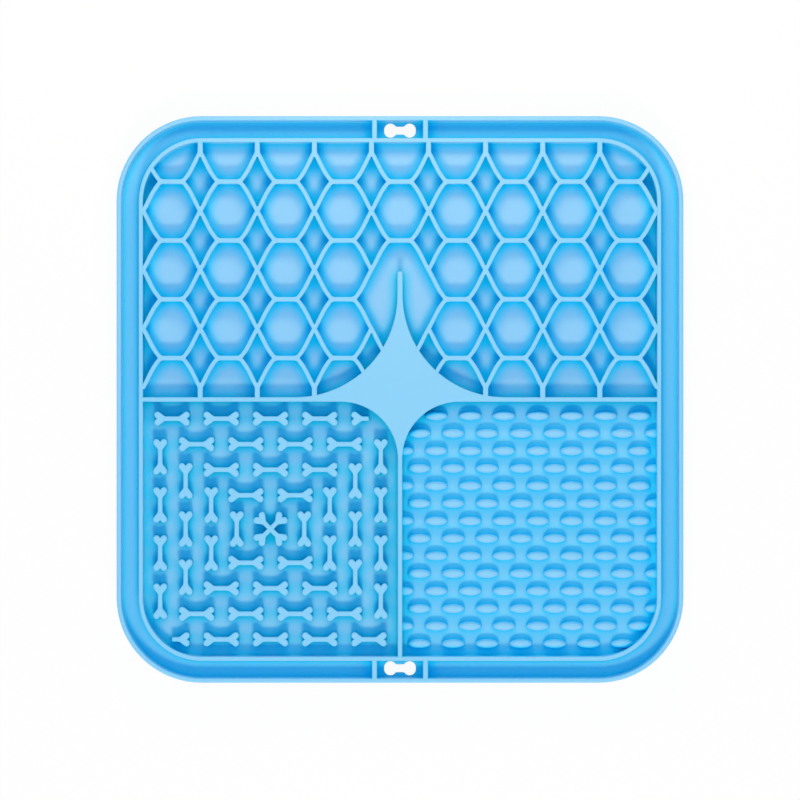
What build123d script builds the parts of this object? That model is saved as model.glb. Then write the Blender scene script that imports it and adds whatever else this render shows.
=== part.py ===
from build123d import *
import os
from math import asin, atan2, cos, degrees, pi, sin

# Square silicone lick mat: honeycomb in the rear half, bone studs front left, oval studs front right,
# a gutter with two bone-shaped hang holes all round, and suction cups below.
# Millimetres, +Z up, +Y to the rear. The origin is under the mat's middle, on what it stands on.

# Tray plan
MAT_SIDE = 200.0
MAT_CORNER_R = 30.0
RIM_T = 1.9
RIM_BEVEL = 0.6
GUTTER_W = 5.8
WALL_T = 1.65
DIVIDER_T = 1.65

# Heights
CUP_H = 2.5
FLOOR_T = 2.0
WALL_H = 5.5
BONE_H = 4.5
OVAL_H = 3.5

# Star where the dividers meet
STAR_TIP_REACH = 45.2
STAR_TIP_T = 1.9
STAR_REAR_R = 36.0
STAR_FRONT_R = 20.0

# Honeycomb: centreline sizes and rib thickness
HEX_COLUMNS = 9
HEX_ROWS = 4
HEX_FLAT = 7.5
HEX_STEM = 3.4
HEX_RIB_T = 1.6
TIP_COLUMN = 4
TIP_ROW = 1

# Bone studs, in square rings round a crossed pair
BONE_L = 12.6
BONE_SPAN = 5.05
BONE_SHAFT_W = 1.65
BONE_KNOB_R = 1.3
BONE_KNOB_FACETS = 4
BONE_RINGS = 4
BONE_CORE = 2.9
BONE_RING_GAP = 5.81
BONE_ACROSS_GAP = 3.81
BONE_UPRIGHT_GAP = 13.11
CROSSED_BONE_L = 13.6

# Oval studs, in staggered rows
OVAL_L = 8.3
OVAL_W = 3.3
OVAL_SIDES = 8
OVAL_ROWS = 14
OVAL_STEPS = 7.5
OVAL_REAR_GAP = 5.0
OVAL_FRONT_GAP = 4.3
OVAL_LEAST_SHARE = 0.2

# Hanger bays in the rear and front gutter
BAY_W = 16.2
BAY_RIB_T = 1.8
HOLE_L = 11.2
HOLE_SPAN = 5.05
HOLE_NECK_W = 2.75
HOLE_LOBE_R = 1.8
HOLE_LOBE_FACETS = 8

# Suction cups
CUP_COUNT = 4
CUP_EDGE_GAP = 25.5
CUP_SIDES = 12
CUP_LIP_D = 14.0
CUP_LIP_W = 0.8
CUP_NECK_D = 9.0
CUP_HOLLOW_DEPTH = 1.5
CUP_HOLLOW_ROOF_D = 5.0

# Levels and places worked out from the sizes above
FLOOR_Z = CUP_H
TREAD_Z = CUP_H + FLOOR_T
GUTTER_INSET = RIM_T
WALL_INSET = RIM_T + GUTTER_W
FIELD_INSET = WALL_INSET + WALL_T
FIELD_REACH = MAT_SIDE / 2 - FIELD_INSET
HALF_DIVIDER = DIVIDER_T / 2
QUARTER_SIDE = FIELD_REACH - HALF_DIVIDER
QUARTER_MID = HALF_DIVIDER + QUARTER_SIDE / 2
GUTTER_MID = MAT_SIDE / 2 - RIM_T - GUTTER_W / 2
BAY_REACH = BAY_W / 2 + BAY_RIB_T
RING_PITCH = (QUARTER_SIDE / 2 - BONE_RING_GAP - BONE_CORE) / BONE_RINGS
STEP_ACROSS = (QUARTER_SIDE - 2 * BONE_ACROSS_GAP - BONE_L) / BONE_RINGS
STEP_UPRIGHT = (QUARTER_SIDE - 2 * BONE_UPRIGHT_GAP - BONE_L) / (BONE_RINGS - 1)
CUP_PITCH = (MAT_SIDE - 2 * CUP_EDGE_GAP - CUP_LIP_D) / (CUP_COUNT - 1)


def rounded_square(inset):
    """Plan of the mat drawn in by an inset, with its corners concentric."""
    side = MAT_SIDE - 2 * inset
    return RectangleRounded(side, side, MAT_CORNER_R - inset)


def block(x_low, x_high, y_low, y_high):
    """Rectangle between two corners."""
    middle = Pos((x_low + x_high) / 2, (y_low + y_high) / 2)
    return middle * Rectangle(x_high - x_low, y_high - y_low)


def raised(face, base, height):
    """Solids standing on a plan."""
    return extrude(Pos(0, 0, base) * face, amount=height).solids()


def export(node, solids):
    """Write one node's solids."""
    export_step(Compound(children=list(solids)), f"parts/{node}.step")


def star_face():
    """Star plan: a cross of the dividers and the rear tip, with hollow round corners."""
    rear = Vector(STAR_TIP_T / 2 + STAR_REAR_R, HALF_DIVIDER + STAR_REAR_R)
    front = Vector(HALF_DIVIDER + STAR_FRONT_R, -HALF_DIVIDER - STAR_FRONT_R)
    tip = Vector(STAR_TIP_T / 2, STAR_TIP_REACH)
    right_half = Curve() + [
        Line((0, tip.Y), tip),
        Line(tip, (tip.X, rear.Y)),
        CenterArc(rear, STAR_REAR_R, 180, 90),
        Line((rear.X, HALF_DIVIDER), (rear.X, -HALF_DIVIDER)),
        Line((rear.X, -HALF_DIVIDER), (front.X, -HALF_DIVIDER)),
        CenterArc(front, STAR_FRONT_R, 90, 90),
        Line((HALF_DIVIDER, front.Y), (0, front.Y)),
    ]
    return make_face((right_half + mirror(right_half, Plane.YZ)).edges())


def bone_face(length, span, shaft_w, knob_r, knob_facets):
    """Bone plan: a straight shaft with a pair of round knobs at each end, notched between them."""
    knob_x, knob_y = length / 2 - knob_r, span / 2 - knob_r
    notch = -asin(knob_y / knob_r)
    shaft = pi - asin((shaft_w / 2 - knob_y) / knob_r)
    turns = [notch + (shaft - notch) * i / knob_facets for i in range(knob_facets + 1)]
    knob = [(knob_x + knob_r * cos(a), knob_y + knob_r * sin(a)) for a in turns]
    upper = knob + [(-x, y) for x, y in reversed(knob)]
    lower = [(-x, -y) for x, y in upper]
    return Polygon(*upper, *lower[1:-1], align=None)


def stud_bone(length):
    """Plan of a bone stud of a given length."""
    return bone_face(length, BONE_SPAN, BONE_SHAFT_W, BONE_KNOB_R, BONE_KNOB_FACETS)


def oval_face():
    """Oval stud plan."""
    turns = [2 * pi * i / OVAL_SIDES for i in range(OVAL_SIDES)]
    return Polygon(*[(OVAL_L / 2 * cos(a), OVAL_W / 2 * sin(a)) for a in turns], align=None)


def heading(start, end):
    """Direction from one plan point to another, as an angle."""
    return atan2(end[1] - start[1], end[0] - start[0])


def mitre(point, angle, next_angle):
    """Corner between two ribs that leave a point, the second one anticlockwise of the first."""
    left = Vector(-sin(angle), cos(angle))
    right = Vector(sin(next_angle), -cos(next_angle))
    return Vector(*point) + (left + right) * (HEX_RIB_T / 2 / (1 + left.dot(right)))


def rib_end(point, ends, towards):
    """Right corner, tip and left corner of a rib where it leaves a point, seen from the rib."""
    angle = heading(point, towards)
    others = sorted((heading(point, end) - angle) % (2 * pi) for end in ends if end != towards)
    if not others:
        side = Vector(-sin(angle), cos(angle)) * (HEX_RIB_T / 2)
        back = Vector(*point) - Vector(cos(angle), sin(angle)) * HEX_RIB_T
        return [back + side, back - side]
    left = mitre(point, angle, angle + others[0])
    right = mitre(point, angle + others[-1], angle)
    return [left, Vector(*point), right]


def honeycomb_graph():
    """Centrelines of the honeycomb, as pairs of points for its flat, slanted and stem ribs."""
    pitch_x = 2 * FIELD_REACH / HEX_COLUMNS
    pitch_y = (QUARTER_SIDE - 2 * HEX_STEM) / HEX_ROWS
    first_y = HALF_DIVIDER + HEX_STEM
    flats, slants, stems = [], [], []
    for column in range(HEX_COLUMNS):
        middle = -FIELD_REACH + pitch_x * (column + 0.5)
        for row in range(HEX_ROWS):
            if (column, row) == (TIP_COLUMN, TIP_ROW):
                continue
            level = first_y + pitch_y * (row + 0.5)
            left, right = (middle - HEX_FLAT / 2, level), (middle + HEX_FLAT / 2, level)
            flats.append((left, right))
            for knot, side in ((left, column), (right, column + 1)):
                for step in (row, row + 1):
                    slants.append((knot, (-FIELD_REACH + pitch_x * side, first_y + pitch_y * step)))
    for side in range(1, HEX_COLUMNS):
        x = -FIELD_REACH + pitch_x * side
        stems.append(((x, first_y), (x, HALF_DIVIDER)))
        stems.append(((x, first_y + pitch_y * HEX_ROWS), (x, FIELD_REACH)))
    return flats, slants, stems


def rib_faces(ribs, ends, field):
    """Plans of ribs along centrelines, mitred to their neighbours and cut to a field."""
    faces = []
    for start, end in ribs:
        outline = rib_end(start, ends[start], end) + rib_end(end, ends[end], start)
        faces += (Polygon(*outline, align=None) & field).faces()
    return faces


def bone_places():
    """Places of the bones across and upright, ring by ring, round the crossed pair."""
    across, upright = [], []
    for ring in range(1, BONE_RINGS + 1):
        offset = BONE_CORE + RING_PITCH * ring
        for side in (-1, 1):
            across += [((i - ring / 2) * STEP_ACROSS, side * offset) for i in range(ring + 1)]
            upright += [(side * offset, (i - (ring - 1) / 2) * STEP_UPRIGHT) for i in range(ring)]
    return across, upright


def bone_field_solids(face, places, field):
    """Bone studs at places round the middle of the bone field."""
    middle = Pos(-QUARTER_MID, -QUARTER_MID)
    solids = []
    for place in places:
        solids += raised(middle * Pos(*place) * face & field, TREAD_Z, BONE_H)
    return solids


def oval_solids(field):
    """Staggered rows of ovals, cut where they meet the divider, the star and the wall."""
    face = oval_face()
    step = QUARTER_SIDE / OVAL_STEPS
    pitch = (QUARTER_SIDE - OVAL_REAR_GAP - OVAL_FRONT_GAP) / (OVAL_ROWS - 1)
    solids = []
    for row in range(OVAL_ROWS):
        y = -HALF_DIVIDER - OVAL_REAR_GAP - pitch * row
        for column in range(int(OVAL_STEPS) + 1):
            x = HALF_DIVIDER + step * (column + (row % 2) / 2)
            cut = Pos(x, y) * face & field
            for kept in cut.faces():
                if kept.area > OVAL_LEAST_SHARE * face.area:
                    solids += raised(kept, TREAD_Z, OVAL_H)
    return solids


def frustum(base_d, top_d, height):
    """Tapering round block of a few flat sides, standing at the origin."""
    taper = degrees(atan2((base_d - top_d) / 2, height))
    return extrude(RegularPolygon(base_d / 2, CUP_SIDES), amount=height, taper=taper)


def suction_cup():
    """Flared cup with a flat lip round a hollow, which flattens out when the mat is pressed down."""
    hollow_d = CUP_LIP_D - 2 * CUP_LIP_W
    return frustum(CUP_LIP_D, CUP_NECK_D, CUP_H) - frustum(hollow_d, CUP_HOLLOW_ROOF_D, CUP_HOLLOW_DEPTH)


# Plans of the fields, the rings and the star
mat = rounded_square(0)
gutter_outside = rounded_square(GUTTER_INSET)
wall_outside = rounded_square(WALL_INSET)
wall_inside = rounded_square(FIELD_INSET)
star = star_face()
edge = MAT_SIDE / 2
honeycomb_field = (wall_inside & block(-edge, edge, HALF_DIVIDER, edge)) - star
bone_field = (wall_inside & block(-edge, -HALF_DIVIDER, -edge, -HALF_DIVIDER)) - star
oval_field = (wall_inside & block(HALF_DIVIDER, edge, -edge, -HALF_DIVIDER)) - star

os.makedirs("parts", exist_ok=True)

# Floors
gutter_ring = mat - wall_outside
export("honeycomb_floor", raised(wall_outside & block(-edge, edge, 0, edge), FLOOR_Z, FLOOR_T))
export("bone_floor", raised(wall_outside & block(-edge, 0, -edge, 0), FLOOR_Z, FLOOR_T))
export("oval_floor", raised(wall_outside & block(0, edge, -edge, 0), FLOOR_Z, FLOOR_T))
export("left_gutter_floor", raised(gutter_ring & block(-edge, -BAY_REACH, -edge, edge), FLOOR_Z, FLOOR_T))
export("right_gutter_floor", raised(gutter_ring & block(BAY_REACH, edge, -edge, edge), FLOOR_Z, FLOOR_T))

# Gutter walls
rim = extrude(Pos(0, 0, TREAD_Z) * (mat - gutter_outside), amount=WALL_H)
rim_edge = rim.faces().sort_by(Axis.Z)[-1].outer_wire().edges()
export("outer_rim", chamfer(rim_edge, RIM_BEVEL).solids())
export("inner_wall", raised(wall_outside - wall_inside, TREAD_Z, WALL_H))

# Hanger bays
hole = bone_face(HOLE_L, HOLE_SPAN, HOLE_NECK_W, HOLE_LOBE_R, HOLE_LOBE_FACETS)
for node, side in (("rear", 1), ("front", -1)):
    bay = gutter_ring & block(-BAY_REACH, BAY_REACH, min(0, side * edge), max(0, side * edge))
    tab = bay - Pos(0, side * GUTTER_MID) * hole
    export(f"{node}_hanger_tab", raised(tab, FLOOR_Z, FLOOR_T))
    rib_x = (BAY_W + BAY_RIB_T) / 2
    ribs = [Pos(x, side * GUTTER_MID) * Rectangle(BAY_RIB_T, GUTTER_W) for x in (-rib_x, rib_x)]
    export(f"{node}_hanger_ribs", [solid for rib in ribs for solid in raised(rib, TREAD_Z, WALL_H)])

# Star and dividers
arm_reach = STAR_TIP_T / 2 + STAR_REAR_R
foot_reach = HALF_DIVIDER + STAR_FRONT_R
export("centre_star", raised(star, TREAD_Z, WALL_H))
left_divider = block(-FIELD_REACH, -arm_reach, -HALF_DIVIDER, HALF_DIVIDER)
export("left_divider", raised(left_divider, TREAD_Z, WALL_H))
export("right_divider", raised(mirror(left_divider, Plane.YZ), TREAD_Z, WALL_H))
lower_divider = block(-HALF_DIVIDER, HALF_DIVIDER, -FIELD_REACH, -foot_reach)
export("lower_divider", raised(lower_divider, TREAD_Z, WALL_H))

# Honeycomb
rib_sets = dict(zip(("flats", "slants", "stems"), honeycomb_graph()))
ends = {}
for ribs in rib_sets.values():
    for start, end in ribs:
        ends.setdefault(start, []).append(end)
        ends.setdefault(end, []).append(start)
for kind, ribs in rib_sets.items():
    faces = rib_faces(ribs, ends, honeycomb_field)
    export(f"honeycomb_{kind}", [solid for face in faces for solid in raised(face, TREAD_Z, WALL_H)])

# Bone studs
bone = stud_bone(BONE_L)
across_places, upright_places = bone_places()
star_corner_place, wall_corner_place = max(across_places), min(across_places)
whole_places = [p for p in across_places if p not in (star_corner_place, wall_corner_place)]
export("bone_studs_across", bone_field_solids(bone, whole_places, bone_field))
export("bone_studs_upright", bone_field_solids(Rot(0, 0, 90) * bone, upright_places, bone_field))
left_half = bone & block(-BONE_L, 0, -BONE_SPAN, BONE_SPAN)
right_half = bone & block(0, BONE_L, -BONE_SPAN, BONE_SPAN)
half_solids = bone_field_solids(left_half, [star_corner_place], bone_field)
half_solids += bone_field_solids(right_half, [wall_corner_place], bone_field)
export("half_bone_studs", half_solids)
crossed_bone = stud_bone(CROSSED_BONE_L)
crossed = Rot(0, 0, 45) * crossed_bone + Rot(0, 0, -45) * crossed_bone
export("crossed_bones", bone_field_solids(crossed, [(0, 0)], bone_field))

# Oval studs
export("oval_studs", oval_solids(oval_field))

# Suction cups
cup = suction_cup()
cup_grid = GridLocations(CUP_PITCH, CUP_PITCH, CUP_COUNT, CUP_COUNT)
export("suction_cups", [(place * cup).solid() for place in cup_grid])
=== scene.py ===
"""Dresses the frame of a square silicone lick mat: one satin blue moulding, built piece by piece.

Pieces are drawn in millimetres and scaled to the frame's metres when they are finished.
"""

import logging
import math
from collections.abc import Callable, Iterable, Sequence
from dataclasses import dataclass, field, replace
from enum import Enum
from typing import Union

import bmesh
import bpy
from mathutils import Matrix, Vector

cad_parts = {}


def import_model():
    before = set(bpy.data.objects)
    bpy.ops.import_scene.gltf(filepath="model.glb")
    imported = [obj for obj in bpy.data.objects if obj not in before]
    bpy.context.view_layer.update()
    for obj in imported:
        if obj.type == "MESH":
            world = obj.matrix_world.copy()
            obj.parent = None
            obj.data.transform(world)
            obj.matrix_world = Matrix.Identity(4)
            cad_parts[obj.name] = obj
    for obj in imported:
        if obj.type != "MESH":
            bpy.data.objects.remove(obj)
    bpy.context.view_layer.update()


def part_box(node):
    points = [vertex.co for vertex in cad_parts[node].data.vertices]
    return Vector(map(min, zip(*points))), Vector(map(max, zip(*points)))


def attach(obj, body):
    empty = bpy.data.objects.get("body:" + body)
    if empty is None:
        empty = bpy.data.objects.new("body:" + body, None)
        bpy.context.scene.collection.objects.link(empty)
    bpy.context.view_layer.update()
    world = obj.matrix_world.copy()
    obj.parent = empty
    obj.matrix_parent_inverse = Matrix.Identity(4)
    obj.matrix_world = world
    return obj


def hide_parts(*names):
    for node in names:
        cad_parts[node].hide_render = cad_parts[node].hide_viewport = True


LOG = logging.getLogger("lick_mat")
BODY = "root"
MM_PER_M = 1000.0
WELD = 1e-4
# Brings the curve of a bowed rib, share * (1 - share)**2, to one at its highest.
BOW_PEAK = 27 / 4
# Halvings that find where a test turns from passed to failed.
HALVINGS = 40
# Largest upward part of a normal that still belongs to a side face.
SIDE_NORMAL_Z = 0.5
# Bevel shape that is part of a circle.
ROUND_PROFILE = 0.5
# Places of the colours in a Mix node, whose socket names repeat for each kind of data.
MIX_FIRST, MIX_SECOND, MIX_RESULT = 6, 7, 2

Point = tuple[float, float]
Colour = tuple[float, float, float, float]
WHITE: Colour = (1.0, 1.0, 1.0, 1.0)
Feed = Union["Sock", float, int, Sequence[float], bpy.types.ID]


class StudTurn(Enum):
    """Ways a stud can lie on the mat, as a turn about the upright axis."""

    ACROSS = 0.0
    UPRIGHT = math.pi / 2


class KeptHalf(Enum):
    """Half of a bone stud that the field leaves room for, as the sign of its x."""

    LEFT = -1
    RIGHT = 1


class Sock:
    """One output of a node, with arithmetic that adds Math nodes to its tree."""

    def __init__(self, graph: "Graph", socket: bpy.types.NodeSocket | None) -> None:
        """Wrap an output of a node in a graph."""
        self.graph = graph
        self.socket = socket

    def __add__(self, other: Feed) -> "Sock":
        """Sum."""
        return self.graph.math("ADD", self, other)

    def __sub__(self, other: Feed) -> "Sock":
        """Difference."""
        return self.graph.math("SUBTRACT", self, other)

    def __rsub__(self, other: Feed) -> "Sock":
        """Difference from a number on the left."""
        return self.graph.math("SUBTRACT", other, self)

    def __mul__(self, other: Feed) -> "Sock":
        """Product."""
        return self.graph.math("MULTIPLY", self, other)

    __radd__, __rmul__ = __add__, __mul__

    def __truediv__(self, other: Feed) -> "Sock":
        """Quotient."""
        return self.graph.math("DIVIDE", self, other)

    def __mod__(self, other: Feed) -> "Sock":
        """Remainder."""
        return self.graph.math("FLOORED_MODULO", self, other)

    def __gt__(self, other: Feed) -> "Sock":
        """One where the value is larger, else zero."""
        return self.graph.math("GREATER_THAN", self, other)

    def floor(self) -> "Sock":
        """Whole number below the value."""
        return self.graph.math("FLOOR", self)

    def at_least(self, low: Feed) -> "Sock":
        """Value held at or above a limit."""
        return self.graph.math("MAXIMUM", self, low)

    def at_most(self, high: Feed) -> "Sock":
        """Value held at or below a limit."""
        return self.graph.math("MINIMUM", self, high)


class Graph:
    """A node tree that is filled in by plain calls."""

    def __init__(self, tree: bpy.types.NodeTree) -> None:
        """Take over a shader or geometry tree."""
        self.tree = tree

    @classmethod
    def of(cls, owner: bpy.types.Material | bpy.types.World) -> "Graph":
        """Empty the shader tree of a material or world.

        Args:
            owner: What the tree belongs to.

        Returns:
            The empty tree.
        """
        owner.use_nodes = True
        owner.node_tree.nodes.clear()
        return cls(owner.node_tree)

    def node(
        self,
        kind: str,
        settings: dict[str, object] | None = None,
        feeds: dict[str | int, Feed] | None = None,
        output: str | int = 0,
    ) -> Sock:
        """Add one node.

        Args:
            kind: Type name of the node.
            settings: Properties, set before the sockets.
            feeds: Values or links of input sockets, by name or place.
            output: Output to hand back, by name or place.

        Returns:
            The chosen output.
        """
        made = self.tree.nodes.new(kind)
        for name, value in (settings or {}).items():
            setattr(made, name, value)
        for key, value in (feeds or {}).items():
            if isinstance(value, Sock):
                self.tree.links.new(value.socket, made.inputs[key])
            else:
                made.inputs[key].default_value = value
        return Sock(self, made.outputs[output] if made.outputs else None)

    def math(self, operation: str, *values: Feed) -> Sock:
        """Result of a Math node on some values."""
        return self.node("ShaderNodeMath", {"operation": operation}, dict(enumerate(values)))

    def blend(self, share: Feed, low: Feed, high: Feed) -> Sock:
        """Mix of two colours, with a share of the second one from zero to one."""
        feeds = {0: share, MIX_FIRST: low, MIX_SECOND: high}
        return self.node("ShaderNodeMix", {"data_type": "RGBA"}, feeds, MIX_RESULT)


class Recipe(Graph):
    """A geometry tree with named inputs that ends in one plain mesh."""

    def __init__(self, name: str) -> None:
        """Start an empty tree.

        Args:
            name: Name of the tree.
        """
        super().__init__(bpy.data.node_groups.new(name, "GeometryNodeTree"))
        self.tree.interface.new_socket("Mesh", in_out="OUTPUT", socket_type="NodeSocketGeometry")
        self.keys: dict[str, str] = {}

    def ask(self, name: str, kind: str = "Float") -> Sock:
        """Add a named input.

        Args:
            name: Name of the input.
            kind: Socket kind, such as Float, Int, Object or Material.

        Returns:
            The input's value inside the tree.
        """
        made = self.tree.interface.new_socket(name, in_out="INPUT", socket_type=f"NodeSocket{kind}")
        self.keys[name] = made.identifier
        return self.node("NodeGroupInput", None, None, name)

    def shape(self, name: str) -> Sock:
        """Add a named input for an object and hand back its shape."""
        return self.node("GeometryNodeObjectInfo", None, {"Object": self.ask(name, "Object")}, "Geometry")

    def close(self, geometry: Sock) -> None:
        """End the tree with real geometry in one material.

        Args:
            geometry: What the tree made.
        """
        real = self.node("GeometryNodeRealizeInstances", None, {"Geometry": geometry})
        coat = self.ask("Material", "Material")
        dressed = self.node("GeometryNodeSetMaterial", None, {"Geometry": real, "Material": coat})
        self.node("NodeGroupOutput", None, {"Mesh": dressed})

    def grow(self, name: str, inputs: dict[str, object], finish: bpy.types.Material) -> bpy.types.Object:
        """Run the tree once.

        Args:
            name: Name of the new object.
            inputs: Values of the named inputs.
            finish: Material that the tree sets.

        Returns:
            An object with a plain mesh.
        """
        piece = put_in_scene(name, bpy.data.meshes.new(name))
        maker = piece.modifiers.new(name, "NODES")
        maker.node_group = self.tree
        for label, value in (inputs | {"Material": finish}).items():
            maker[self.keys[label]] = value
        settle(piece)
        return piece


def put_in_scene(name: str, data: bpy.types.ID) -> bpy.types.Object:
    """Make an object and put it into the scene.

    Args:
        name: Name of the object.
        data: Its mesh, curve, lamp or camera.

    Returns:
        The new object.
    """
    made = bpy.data.objects.new(name, data)
    bpy.context.scene.collection.objects.link(made)
    return made


def settle(piece: bpy.types.Object) -> None:
    """Turn what an object's modifiers make into its own plain mesh.

    Args:
        piece: Object to settle.
    """
    graph = bpy.context.evaluated_depsgraph_get()
    made = bpy.data.meshes.new_from_object(
        piece.evaluated_get(graph), preserve_all_data_layers=True, depsgraph=graph
    )
    piece.modifiers.clear()
    piece.data = made


def fill_mesh(mesh: bpy.types.Mesh, drawing: bmesh.types.BMesh) -> None:
    """Weld a closed drawing, turn its faces outwards and put it into a mesh.

    Args:
        mesh: Mesh to fill.
        drawing: Drawing, which is freed.
    """
    bmesh.ops.remove_doubles(drawing, verts=drawing.verts[:], dist=WELD)
    bmesh.ops.recalc_face_normals(drawing, faces=drawing.faces[:])
    drawing.to_mesh(mesh)
    drawing.free()


def mesh_of(name: str, drawing: bmesh.types.BMesh) -> bpy.types.Object:
    """Put a closed drawing into the scene.

    Args:
        name: Name of the object.
        drawing: Drawing, which is freed.

    Returns:
        The new object.
    """
    mesh = bpy.data.meshes.new(name)
    fill_mesh(mesh, drawing)
    return put_in_scene(name, mesh)


def face_outwards(piece: bpy.types.Object) -> None:
    """Weld an object's closed mesh and turn its faces outwards.

    Args:
        piece: The object.
    """
    drawing = bmesh.new()
    drawing.from_mesh(piece.data)
    fill_mesh(piece.data, drawing)


def discard(*helpers: bpy.types.Object) -> None:
    """Remove objects that only served to make others."""
    for helper in helpers:
        bpy.data.objects.remove(helper)


def arc(centre: Point, radius: float, start: float, end: float, steps: int) -> list[Point]:
    """Points along an arc between two angles in degrees, both ends included."""
    turns = [math.radians(start + (end - start) * i / steps) for i in range(steps + 1)]
    return [(centre[0] + radius * math.cos(a), centre[1] + radius * math.sin(a)) for a in turns]


def mirrored(half: Sequence[Point]) -> list[Point]:
    """Outline from its right half, which starts and ends at the y axis."""
    return list(half) + [(-x, y) for x, y in reversed(half)]


def mirrored_twice(quarter: Sequence[Point]) -> list[Point]:
    """Outline from its upper right quarter, which starts at the x axis and ends at the y axis."""
    upper = mirrored(quarter)
    return upper + [(-x, -y) for x, y in upper if y > 0]


def turning_point(passes: Callable[[float], bool], good: float, bad: float) -> float:
    """Find where a test turns from passed to failed.

    Args:
        passes: The test.
        good: Value that passes it.
        bad: Value that fails it.

    Returns:
        The last value that passes.
    """
    for _ in range(HALVINGS):
        middle = (good + bad) / 2
        good, bad = (middle, bad) if passes(middle) else (good, middle)
    return good


def rounded_square(reach: float, radius: float, steps: int) -> list[Point]:
    """Outline of a square with round corners.

    Args:
        reach: Half of its side.
        radius: Corner radius.
        steps: Straight steps in each corner.

    Returns:
        The outline.
    """
    inner = reach - radius
    corners = ((inner, inner, 0), (-inner, inner, 90), (-inner, -inner, 180), (inner, -inner, 270))
    return [p for x, y, turn in corners for p in arc((x, y), radius, turn, turn + 90, steps)]


def box_mm(node: str) -> tuple[Vector, Vector]:
    """Lowest and highest corner of a frame node in millimetres."""
    low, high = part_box(node)
    return Vector(low) * MM_PER_M, Vector(high) * MM_PER_M


def ease_top(drawing: bmesh.types.BMesh, top: float, radius: float, steps: int) -> None:
    """Round the edges round the flat top of a drawing.

    Args:
        drawing: Drawing with upright sides.
        top: Height of the flat top.
        radius: Radius of the rounding.
        steps: Straight steps in the rounding.
    """
    drawing.normal_update()
    rims = [
        edge
        for edge in drawing.edges
        if all(abs(v.co.z - top) < WELD for v in edge.verts)
        and any(abs(face.normal.z) < SIDE_NORMAL_Z for face in edge.link_faces)
    ]
    bmesh.ops.bevel(
        drawing,
        geom=rims,
        offset=radius,
        segments=steps,
        profile=ROUND_PROFILE,
        affect="EDGES",
        clamp_overlap=True,
    )


def extrude_down(drawing: bmesh.types.BMesh, drop: float) -> None:
    """Give the flat faces of a drawing a depth, and turn all faces outwards.

    Args:
        drawing: Drawing of flat faces at one height.
        drop: Depth below them.
    """
    made = bmesh.ops.extrude_face_region(drawing, geom=drawing.faces[:])
    low = [item for item in made["geom"] if isinstance(item, bmesh.types.BMVert)]
    bmesh.ops.translate(drawing, verts=low, vec=(0, 0, -drop))
    bmesh.ops.recalc_face_normals(drawing, faces=drawing.faces[:])


def raised_block(
    name: str, outline: Sequence[Point], low: float, top: float, radius: float, steps: int
) -> bpy.types.Object:
    """Upright block on an outline, with a round top edge.

    Args:
        name: Name of the object.
        outline: Plan of the block.
        low: Height of its foot.
        top: Height of its top.
        radius: Radius of the top edge.
        steps: Straight steps in that edge.

    Returns:
        The block.
    """
    drawing = bmesh.new()
    drawing.faces.new([drawing.verts.new((x, y, top)) for x, y in outline])
    extrude_down(drawing, top - low)
    ease_top(drawing, top, radius, steps)
    return mesh_of(name, drawing)


class StudScatter(Recipe):
    """Tree that stands copies of a stud on marked spots, all turned the same way."""

    def __init__(self, finish: bpy.types.Material) -> None:
        """Build the tree.

        Args:
            finish: Material of the studs.
        """
        super().__init__("studs_on_spots")
        self.finish = finish
        feeds = {
            "Points": self.shape("Spots"),
            "Instance": self.shape("Stud"),
            "Rotation": self.node("ShaderNodeCombineXYZ", None, {"Z": self.ask("Turn")}),
        }
        self.close(self.node("GeometryNodeInstanceOnPoints", None, feeds))

    def stand(
        self, name: str, stud: bpy.types.Object, turn: StudTurn, places: Iterable[Point]
    ) -> bpy.types.Object:
        """Stand copies of a stud on the mat.

        Args:
            name: Name of the new object.
            stud: Stud to copy.
            turn: How the copies lie.
            places: Plan point of each copy.

        Returns:
            The copies as one object.
        """
        mesh = bpy.data.meshes.new("spots")
        mesh.from_pydata([(x, y, 0) for x, y in places], [], [])
        spots = put_in_scene("spots", mesh)
        studs = self.grow(name, {"Spots": spots, "Stud": stud, "Turn": turn.value}, self.finish)
        discard(spots)
        return studs


def seen_share(graph: Graph) -> Sock:
    """One where the camera looks, straight, in a reflection or through something clear, else zero.

    Args:
        graph: Tree to add to.

    Returns:
        The share.
    """
    rays = ("Is Camera Ray", "Is Glossy Ray", "Is Transmission Ray")
    camera, glossy, clear = (graph.node("ShaderNodeLightPath", None, None, ray) for ray in rays)
    return (camera + glossy + clear).at_most(1.0)


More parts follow.
